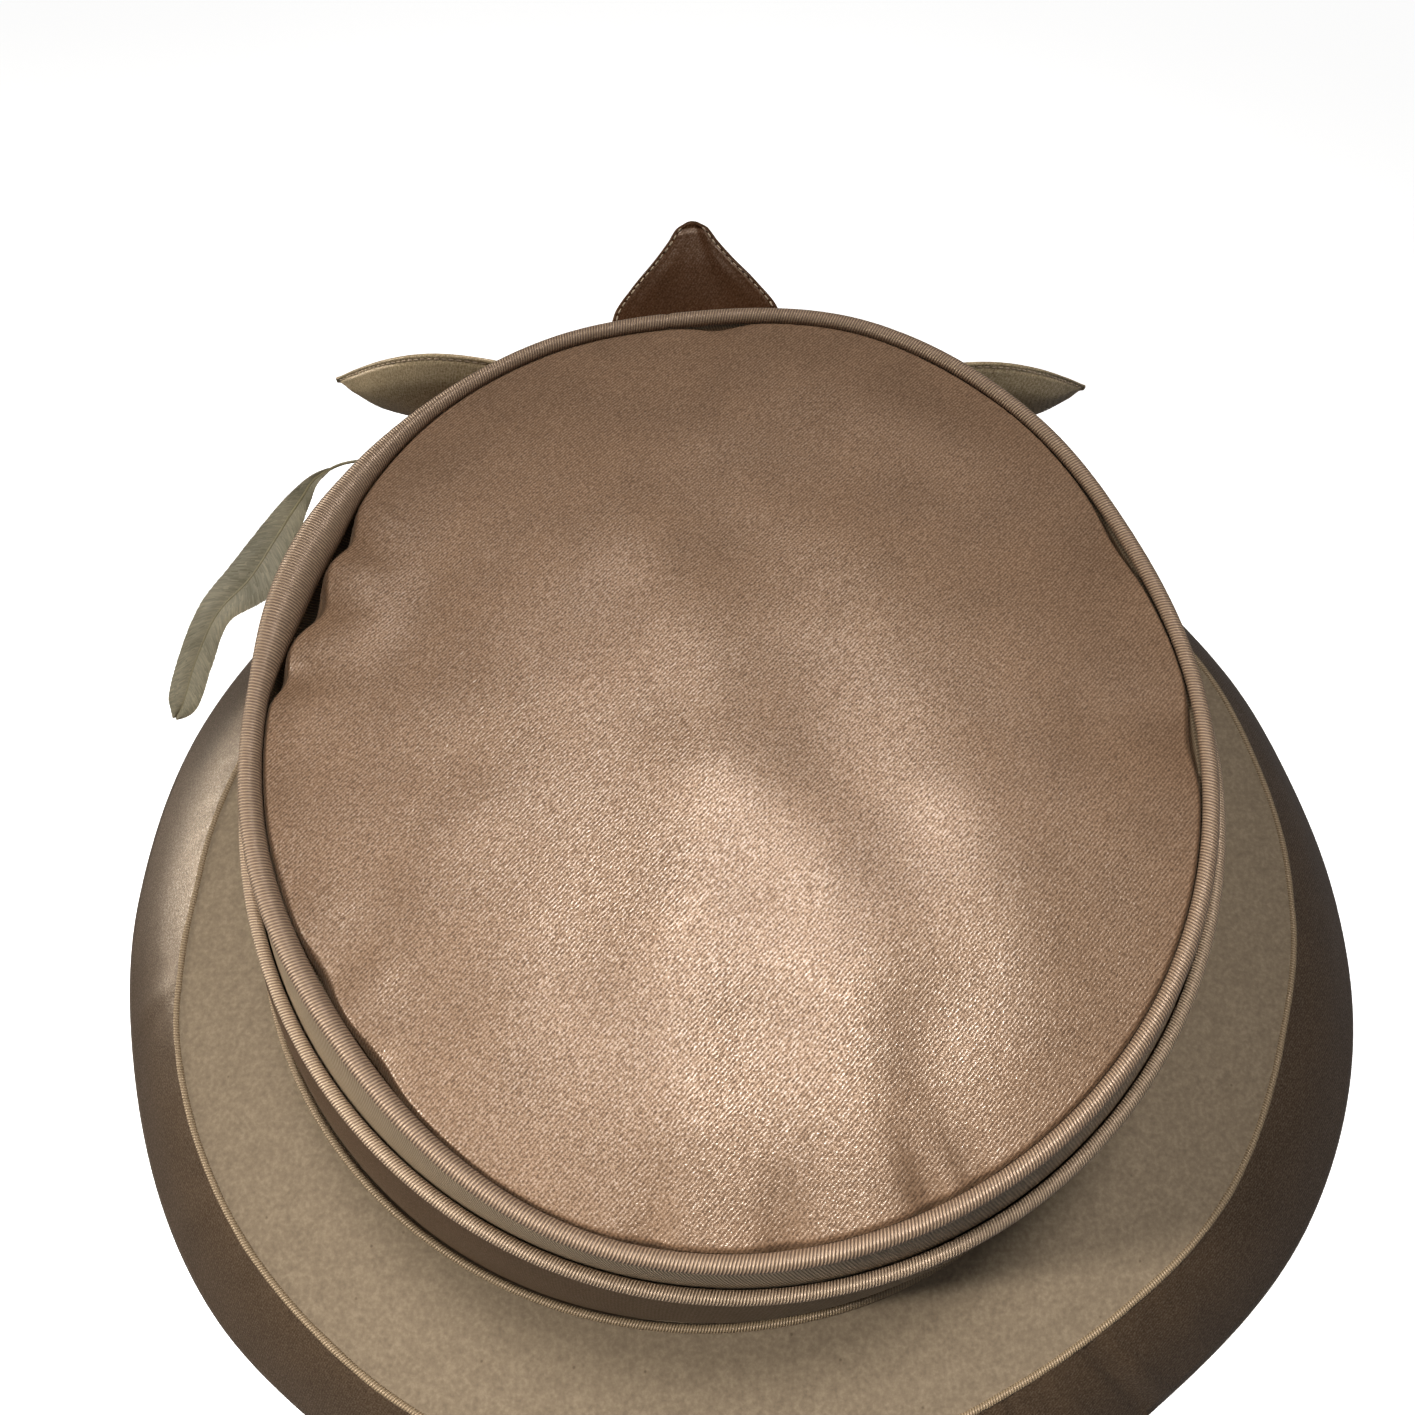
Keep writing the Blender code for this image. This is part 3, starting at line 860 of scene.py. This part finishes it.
def tip_point(angle, share):
    """Point of the crown's top, a low padded dome that rises with the piping's thick stretch and turns down
    into the seam at its rim. share runs from the middle to the seam."""
    swell = piping_radius(angle) - PIPING_DIAMETER / 2
    rim = tip_line(angle) - 2 * piping_radius(angle) + TIP_OVERLAP
    reach = share * rim
    x, y = reach * math.cos(angle), reach * math.sin(angle)
    slack = noise.noise(Vector((x, y, 0.0)) / SLACK_SIZE) * SLACK_HEIGHT
    dome = CROWN_TOP + PIPING_DIAMETER / 2 + DOME_HEIGHT * (1 - share**2.6) + slack + fold_height(x, y)
    dome += swell * smooth((share - SWELL_START) / (1 - SWELL_START))
    tuck = tuck_depth(angle) * max(0.0, (share - TUCK_START) / (1 - TUCK_START)) ** 2
    shoulder = TIP_SHOULDER + tuck_pull(angle)
    fall = smooth((reach - rim + shoulder) / shoulder) ** 1.5
    depth = TIP_SHOULDER + 0.9 * tuck_depth(angle)
    return round_the_crown(angle, reach, dome - tuck - depth * fall)


def tip_shares():
    """Places of the top's rings as shares of its reach, close together in its outer tenth."""
    wide = [FINE_START * part for part in even_shares(WIDE_RINGS)]
    fine = [blend(FINE_START, 1, part) for part in even_shares(FINE_RINGS)[1:]]
    wide[0] = 0.0002
    return wide + fine


def make_crown_tip(material):
    shares = tip_shares()
    rows = [[tip_point(angle, share) for share in shares] for angle in steps_round(TIP_SIDES)]
    along = [TIP_REACH * math.tau * part for part in even_shares(TIP_SIDES)]
    across = [TIP_REACH * share for share in shares]
    piece = add_grid("tip_cloth", rows, along, across, True, False)
    close_middle(piece)
    if piece.data.polygons[0].normal.z < 0:
        piece.data.flip_normals()
    give_thickness(piece, TIP_THICKNESS)
    finish_piece(piece, material, "satin", "crown_tip")


# Flower

PETAL_LENGTH = 0.0900
PETAL_WIDTH = 0.0380
PETAL_CUP = 0.0060
PETAL_START = 0.0085
PETAL_SEAT = 0.0018
PETAL_CREASE = 0.0004
KNOT_SHIFT_SIDE = -0.0040
KNOT_HALF_WIDTH = 0.0110
KNOT_HALF_DEPTH = 0.0058

# Petals: name, degrees clockwise from upright, then as shares of PETAL_LENGTH the reach in the flower's
# plane, the lift away from the crown and the upward bow, then share of PETAL_WIDTH, twist in degrees,
# bulge of its middle towards the crown in metres
Petal = namedtuple("Petal", "name turn reach lift bow width twist bulge")
PETALS = (
    Petal("petal_center", -4, 0.53, 0.385, 0.00, 1.10, 0, 0.0),
    Petal("petal_left", -80, 1.04, 0.16, 0.18, 0.82, -12, 0.0125),
    Petal("petal_right", 82, 1.07, 0.16, 0.18, 0.82, 14, 0.0125),
)

# Outline of a side petal, which ends in a point: share of its length, share of its width
PETAL_OUTLINE = (
    (0.00, 0.16),
    (0.16, 0.42),
    (0.35, 0.80),
    (0.54, 1.00),
    (0.70, 0.98),
    (0.83, 0.72),
    (0.93, 0.33),
    (1.00, 0.05),
)

# The middle petal narrows in a hollow curve to a blunt end
BLUNT_OUTLINE = PETAL_OUTLINE[:4] + (
    (0.70, 0.93),
    (0.80, 0.70),
    (0.88, 0.45),
    (0.94, 0.28),
    (0.98, 0.18),
    (1.00, 0.05),
)
PETAL_ROWS = 90
PETAL_HALF_COLUMNS = 22

# Petal's rim, its padding and the stitches along it
RIM_WIDTH = 0.0010
RIM_HALF_THICKNESS = 0.0007
PADDING = 0.0006
GROOVE_DEPTH = 0.00045
GROOVE_HALF_WIDTH = 0.0004
STITCH_LENGTH = 0.0013
STITCH_STEP = 0.0017
STITCH_RADIUS = 0.00022
STITCH_LIFT = 0.00045
STITCHES_START = 0.10
STITCHES_END = 0.985


def knot_seat():
    back = math.pi / 2
    return round_the_crown(back, band_reach(back, KNOT_CENTRE), KNOT_CENTRE) + Vector((KNOT_SHIFT_SIDE, 0, 0))


def petal_spread(petal, share):
    """Width of the petal here, as a share of its widest place."""
    return look_up(BLUNT_OUTLINE if petal.name == "petal_center" else PETAL_OUTLINE, share)


def petal_half(petal, share):
    """Half the petal's width here."""
    return PETAL_WIDTH * petal.width * petal_spread(petal, share) / 2


def petal_point(petal, share, side):
    """Point on a petal's middle surface: share runs along it, and side from -1 to 1 across it."""
    turn = math.radians(petal.turn)
    ahead = Vector((math.sin(turn), 0, math.cos(turn)))
    beside = Vector((ahead.z, 0, -ahead.x))
    away = Vector((0, 1, 0))
    out = blend(PETAL_START, PETAL_LENGTH * petal.reach, share)
    lifted = PETAL_LENGTH * petal.lift * share**1.3
    middle = knot_seat() + away * PETAL_SEAT + ahead * out + away * lifted
    middle.z += PETAL_LENGTH * petal.bow * 4 * share * (1 - share)
    angle = math.radians(petal.twist) * smooth(2 * share)
    across = beside * math.cos(angle) + away * math.sin(angle)
    hollow = away * math.cos(angle) - beside * math.sin(angle)
    curve = PETAL_CUP * side**2 + petal.bulge * (1 - side**2)
    ahead_of_plane = curve * petal_spread(petal, share) * share
    return middle + across * petal_half(petal, share) * side - hollow * ahead_of_plane


def petal_normal(petal, share, side):
    """Direction out of the petal's face towards the crown."""
    step = 0.01
    low, high = max(0.0, share - step), min(1.0, share + step)
    along = petal_point(petal, high, side) - petal_point(petal, low, side)
    across = petal_point(petal, share, side + step) - petal_point(petal, share, side - step)
    normal = along.cross(across).normalized()
    return normal if normal.y < 0 else -normal


def petal_padding(petal, share, side):
    """Half the petal's thickness here: a padded middle, a stitched groove and a soft rolled rim."""
    end = (1 - share) * PETAL_LENGTH * petal.reach * 0.8
    inside = min(petal_half(petal, share) * (1 - abs(side)), end)
    roundness = 1 - min(1.0, inside / (RIM_WIDTH / 2))
    rim = RIM_HALF_THICKNESS * math.sqrt(max(0.0, 1 - roundness**2))
    padded = PADDING * smooth((inside - RIM_WIDTH) / 0.006)
    groove = GROOVE_DEPTH * hump(inside - RIM_WIDTH, GROOVE_HALF_WIDTH)
    return max(0.0001, rim + padded - groove)


def petal_sides():
    """Places across a petal, close together at its rims."""
    sides = []
    for step in range(-PETAL_HALF_COLUMNS, PETAL_HALF_COLUMNS + 1):
        part = step / PETAL_HALF_COLUMNS
        sides.append(math.sin(part * math.pi / 2) * (0.75 + 0.25 * part * part))
    return sides


def make_petal(petal, satin, thread):
    sides = petal_sides()
    rows = []
    for part in even_shares(PETAL_ROWS):
        share = math.sin(part * math.pi / 2) * 0.6 + part * 0.4
        front = []
        back = []
        for side in sides:
            point = petal_point(petal, share, side)
            normal = petal_normal(petal, share, side)
            wrinkle = noise.noise(Vector((share * 5, side * 2.2, petal.turn)))
            crease = PETAL_CREASE * wrinkle * (1 - abs(side))
            pad = petal_padding(petal, share, side)
            front.append(point + normal * (pad + crease))
            back.append(point - normal * (pad - crease))
        rows.append(front + back[::-1])
    along = [PETAL_LENGTH * petal.reach * part for part in even_shares(PETAL_ROWS)]
    across = [2 * PETAL_WIDTH * part for part in even_shares(2 * len(sides))]
    piece = turn_outwards(add_grid(petal.name + "_cloth", rows, along, across, False, True))
    finish_piece(piece, satin, "satin", petal.name)
    finish_piece(make_stitches(petal), thread, "satin")


def stitch_places(petal):
    """Middles of the stitches along both rims, as point, share and side."""
    places = []
    for way in (-1, 1):
        share = STITCHES_START
        travelled = 0.0
        last = None
        while share < STITCHES_END:
            side = way * max(0.0, 1 - RIM_WIDTH / max(petal_half(petal, share), RIM_WIDTH))
            point = petal_point(petal, share, side) + petal_normal(petal, share, side) * STITCH_LIFT
            if last is not None:
                travelled += (point - last).length
            if last is None or travelled >= STITCH_STEP:
                places.append((point, share, side))
                travelled = 0.0
            last = point
            share += 0.002
    return places


def make_stitches(petal):
    """A broken line of stitches just inside the petal's rim, on the face towards the crown."""
    sides = 6
    points = []
    faces = []
    for point, share, side in stitch_places(petal):
        beyond = petal_point(petal, min(1.0, share + 0.01), side)
        ahead = (beyond - petal_point(petal, share, side)).normalized()
        normal = petal_normal(petal, share, side)
        across = ahead.cross(normal)
        first = len(points)
        for lengthwise, thick in ((-0.5, 0.3), (-0.3, 1.0), (0.3, 1.0), (0.5, 0.3)):
            middle = point + ahead * STITCH_LENGTH * lengthwise
            for turn in steps_round(sides):
                offset = across * math.cos(turn) + normal * math.sin(turn) * 0.7
                points.append(middle + offset * STITCH_RADIUS * thick)
        for ring in range(3):
            low = first + ring * sides
            high = low + sides
            for here in range(sides):
                there = (here + 1) % sides
                faces.append((low + here, low + there, high + there, high + here))
        faces.append([first + here for here in reversed(range(sides))])
        faces.append([first + 3 * sides + here for here in range(sides)])
    return new_piece(petal.name + "_stitches", points, faces)


def make_knot(material):
    """Button wrapped in satin, with folds that turn towards its middle."""
    centre = knot_seat() + Vector((0, GAP + 0.0060, 0))
    rings = 60
    sides = 120
    rows = []
    for part in even_shares(rings):
        tilt = math.pi * part
        row = []
        for turn in steps_round(sides):
            swirl = turn * 7 + 3 * math.cos(tilt)
            fold = 1 - 0.05 * (1 + math.sin(swirl)) * math.sin(tilt) ** 2
            flat = max(0.002, math.sin(tilt)) * KNOT_HALF_WIDTH * fold
            depth = -math.cos(tilt) * KNOT_HALF_DEPTH * (0.97 + 0.03 * fold)
            row.append(centre + Vector((flat * math.cos(turn), depth, flat * math.sin(turn))))
        rows.append(row)
    along = [0.0173 * part for part in even_shares(rings)]
    across = [0.069 * part for part in even_shares(sides)]
    piece = turn_outwards(add_grid("knot_cloth", rows, along, across, False, True))
    finish_piece(piece, material, "satin", "flower_knot")


# Feather

# Feather from its quill to its tip: degrees round the crown, distance from the band's corded line in metres,
# height above the felt in metres, half width in metres of the vane away from and towards the crown
Station = namedtuple("Station", "degrees distance height outer inner")
FEATHER = (
    Station(98, 0.0040, 0.0145, 0.0003, 0.0003),
    Station(108, 0.0060, 0.0145, 0.0004, 0.0004),
    Station(116, 0.0100, 0.0145, 0.0005, 0.0005),
    Station(123, 0.0240, 0.0145, 0.0006, 0.0006),
    Station(131, 0.0480, 0.0145, 0.0008, 0.0008),
    Station(136, 0.0510, 0.0175, 0.0010, 0.0010),
    Station(140, 0.0460, 0.0215, 0.0030, 0.0025),
    Station(145, 0.0420, 0.0230, 0.0045, 0.0050),
    Station(150, 0.0410, 0.0215, 0.0055, 0.0065),
    Station(155, 0.0430, 0.0205, 0.0045, 0.0035),
    Station(160, 0.0435, 0.0165, 0.0040, 0.0040),
    Station(164, 0.0435, 0.0125, 0.0035, 0.0035),
    Station(165.5, 0.0450, 0.0100, 0.0006, 0.0006),
)
VANE_TILT = math.radians(25)
VANE_START = 0.39
VANE_END = 0.985
BARB_COUNT = 320
BARB_STEPS = 6
BARB_SLANT = 0.03
BARB_HALF_WIDTH = 0.00050
BARB_CURL = 0.0005
BARB_STRAY = 0.00006
QUILL_ROOT_RADIUS = 0.00062
QUILL_TIP_RADIUS = 0.00012
QUILL_STEPS = 140


def feather_value(column, row):
    """Value of one column on the smooth curve through the feather's rows."""
    values = [getattr(station, column) for station in FEATHER]
    low = min(int(row), len(values) - 2)
    before = values[max(0, low - 1)]
    here, there = values[low], values[low + 1]
    after = values[min(len(values) - 1, low + 2)]
    t = row - low
    return 0.5 * (
        2 * here + (there - before) * t + (2 * before - 5 * here + 4 * there - after) * t * t
        + (3 * here - before - 3 * there + after) * t**3
    )


def feather_spot(row):
    angle = math.radians(feather_value("degrees", row))
    reach = roll_line(angle) + feather_value("distance", row)
    return round_the_crown(angle, reach, FELT_TOP + feather_value("height", row))


def feather_frame(place):
    """Point of the quill, direction along it and direction across the vane. place runs from 0 to 1."""
    last = len(FEATHER) - 1
    row = place * last
    ahead = (feather_spot(min(last, row + 0.05)) - feather_spot(max(0.0, row - 0.05))).normalized()
    angle = math.radians(feather_value("degrees", row))
    outwards = Vector((math.cos(angle), math.sin(angle), 0))
    tilted = outwards * math.cos(VANE_TILT) + Vector((0, 0, math.sin(VANE_TILT)))
    across = (tilted - ahead * tilted.dot(ahead)).normalized()
    return feather_spot(row), ahead, across


def add_barb(points, faces, corners, way, number):
    """Adds one barb, which runs out from the quill and leans towards the feather's tip."""
    root = blend(VANE_START, VANE_END, number / (BARB_COUNT - 1))
    tip = min(0.999, root + BARB_SLANT * (1 - 0.7 * smooth((root - 0.9) / 0.1)))
    start, ahead, across = feather_frame(root)
    end, _, end_across = feather_frame(tip)
    half_width = feather_value("outer" if way > 0 else "inner", tip * (len(FEATHER) - 1))
    width = max(0.0, half_width) * random.uniform(0.98, 1.01)
    lift = ahead.cross(across).normalized()
    lift = lift if lift.z > 0 else -lift
    first = len(points)
    for share in even_shares(BARB_STEPS):
        middle = start.lerp(end, share**1.3) + end_across * way * width * share
        middle += lift * (BARB_CURL * math.sin(share * 2.6) + BARB_STRAY * random.uniform(-1, 1))
        half = BARB_HALF_WIDTH * (1 - 0.4 * share**3)
        for edge in (-1, 1):
            points.append(middle + ahead * half * edge)
    for step in range(BARB_STEPS):
        low = first + 2 * step
        faces.append((low, low + 1, low + 3, low + 2))
        for right, up in ((0, step), (1, step), (1, step + 1), (0, step + 1)):
            corners.append((number * 0.001 + right * 0.0008, width * up / BARB_STEPS))


def make_vane(material):
    """Two vanes of separate barbs."""
    random.seed(11)
    points = []
    faces = []
    corners = []
    for way in (1, -1):
        for number in range(BARB_COUNT):
            add_barb(points, faces, corners, way, number)
    finish_piece(new_piece("feather_vane", points, faces, corners), material, "plume", "feather")


def make_quill(material):
    """Quill that tapers to the feather's tip."""
    rows = []
    for place in even_shares(QUILL_STEPS):
        point, ahead, across = feather_frame(place * 0.992)
        lift = ahead.cross(across).normalized()
        half = blend(QUILL_ROOT_RADIUS, QUILL_TIP_RADIUS, place**0.8)
        turns = steps_round(8)
        rows.append([point + (across * math.cos(turn) + lift * math.sin(turn)) * half for turn in turns])
    along = [0.16 * place for place in even_shares(QUILL_STEPS)]
    around = [0.0024 * part for part in even_shares(8)]
    piece = turn_outwards(add_grid("feather_quill", rows, along, around, False, True))
    finish_piece(piece, material, "plume")


# Stage, light and camera

# Lamps: name, place, what it points at, width in metres, full angle of its beam in degrees, watts, colour
LAMPS = (
    ("key_from_left", (-0.80, -0.22, 0.80), (0.08, -0.30, 0.03), 0.11, 40, 1.06, "#FFFAF2"),
    ("top_light", (0.05, 0.14, 1.15), (-0.02, -0.04, 0.115), 0.24, 36, 0.47, "#FFFCF8"),
    ("near_fill", (-0.04, -0.10, 0.90), (0.0, -0.05, 0.05), 0.40, 180, 1.0, "#FFFAF2"),
    ("left_window", (-0.55, 0.18, 0.06), (-0.15, 0.04, 0.015), 0.40, 40, 0.28, "#FFF6E4"),
)
ROOM_LIGHT = 0.12
FLOOR_GLOW = 0.80
FLOOR_HALF_WIDTH = 4


def add_light(name, place, aim, width, beam, watts, colour):
    """A round soft lamp."""
    lamp = bpy.data.lights.new(name, "AREA")
    lamp.spread = math.radians(beam)
    lamp.shape = "DISK"
    lamp.size = width
    lamp.energy = watts
    lamp.color = linear(colour)[:3]
    light = bpy.data.objects.new(name, lamp)
    light.location = place
    light.rotation_euler = (Vector(aim) - Vector(place)).to_track_quat("-Z", "Y").to_euler()
    bpy.context.scene.collection.objects.link(light)


def make_stage():
    far = FLOOR_HALF_WIDTH
    corners = [(-far, -far, 0), (far, -far, 0), (far, far, 0), (-far, far, 0)]
    floor = new_piece("floor", corners, [(0, 1, 2, 3)])
    material, _ = new_material(
        "white_paper_floor",
        Roughness=0.95,
        Specular_IOR_Level=0.1,
        Base_Color=linear("#FAFAF8"),
        Emission_Color=linear("#FFFFFF"),
        Emission_Strength=FLOOR_GLOW,
    )
    floor.data.materials.append(material)
    # The pale floor throws no light up at the hat, whose underside and edges stay dark in the photograph
    floor.visible_diffuse = False
    floor.visible_glossy = False


def make_light():
    world = bpy.data.worlds.new("pale_room")
    world.use_nodes = True
    background = world.node_tree.nodes["Background"]
    background.inputs["Color"].default_value = linear("#F2F4FA")
    background.inputs["Strength"].default_value = ROOM_LIGHT
    bpy.context.scene.world = world
    for lamp in LAMPS:
        add_light(*lamp)
    bpy.context.scene.view_settings.view_transform = "Standard"


def make_camera():
    lens = bpy.data.cameras.new("photo_camera")
    lens.sensor_width = 36.0
    lens.lens = CAMERA_LENS
    lens.clip_start = 0.01
    camera = bpy.data.objects.new("photo_camera", lens)
    camera.location = CAMERA_PLACE
    camera.rotation_euler = CAMERA_TURN
    bpy.context.scene.collection.objects.link(camera)
    bpy.context.scene.camera = camera


def main():
    tip_satin = woven_satin("woven_polyester_satin", "#453428", "#81664F", lines=0.25, gloss=1.0, grain=1.0)
    # The brim's edge is the top's satin in darker colours: painted shade on the edge's slope
    edge_satin = woven_satin("brim_satin_painted_shade", "#2C2118", "#544433", lines=0.1, gloss=1.0, grain=0.8)
    # The band is the top's satin in darker colours with little gloss: painted shade under the roll
    band_satin = woven_satin("band_satin_painted_shade", "#35251A", "#543D2C", lines=0.1, gloss=0.05, grain=0.5)
    # The side petals and the knot use a lighter copy of the satin: painted light on their lit tops
    petal_satin = woven_satin("petal_satin_painted_light", "#7C6A50", "#BEAC8A", lines=0.1, gloss=1.0, grain=1.0)
    # The middle petal uses a darker copy of the satin: painted shade on its hollow face
    middle_petal_painted_shade = woven_satin("middle_petal_satin_painted_shade", "#382413", "#563824", lines=0.1, gloss=0.5, grain=0.4)
    cord = corded_satin("bias_satin_over_cord", "#56453A", "#A48C74", spacing=0.00056, gloss=0.9)
    # The thin cord round the band is a lighter copy of the cord satin: painted highlight along it
    roll = corded_satin("thin_cord_satin_painted_highlight", "#5E4C3D", "#C0A98F", spacing=0.00052, gloss=1.0)
    strip = corded_satin("ribbed_wall_satin", "#766652", "#A8977E", spacing=0.0006, gloss=0.5)
    trim = corded_satin("flat_trim_satin", "#74624C", "#9C8A70", spacing=0.0006, gloss=0.5)
    thread = plain_thread("polyester_sewing_thread", "#C3AE94", roughness=0.5)
    make_camera()
    make_light()
    make_stage()
    make_brim_edge(edge_satin)
    make_brim_felt(wool_felt())
    make_seam_piping(trim)
    make_crown_wall(strip)
    make_hat_band(band_satin)
    make_base_trim(trim)
    make_band_roll(roll)
    make_crown_tip(tip_satin)
    make_tip_piping(cord)
    make_knot(petal_satin)
    for petal, cloth in zip(PETALS, (middle_petal_painted_shade, petal_satin, petal_satin)):
        make_petal(petal, cloth, thread)
    make_vane(dyed_vane())
    make_quill(plain_thread("bare_feather_quill", "#8E8566", roughness=0.45))


main()
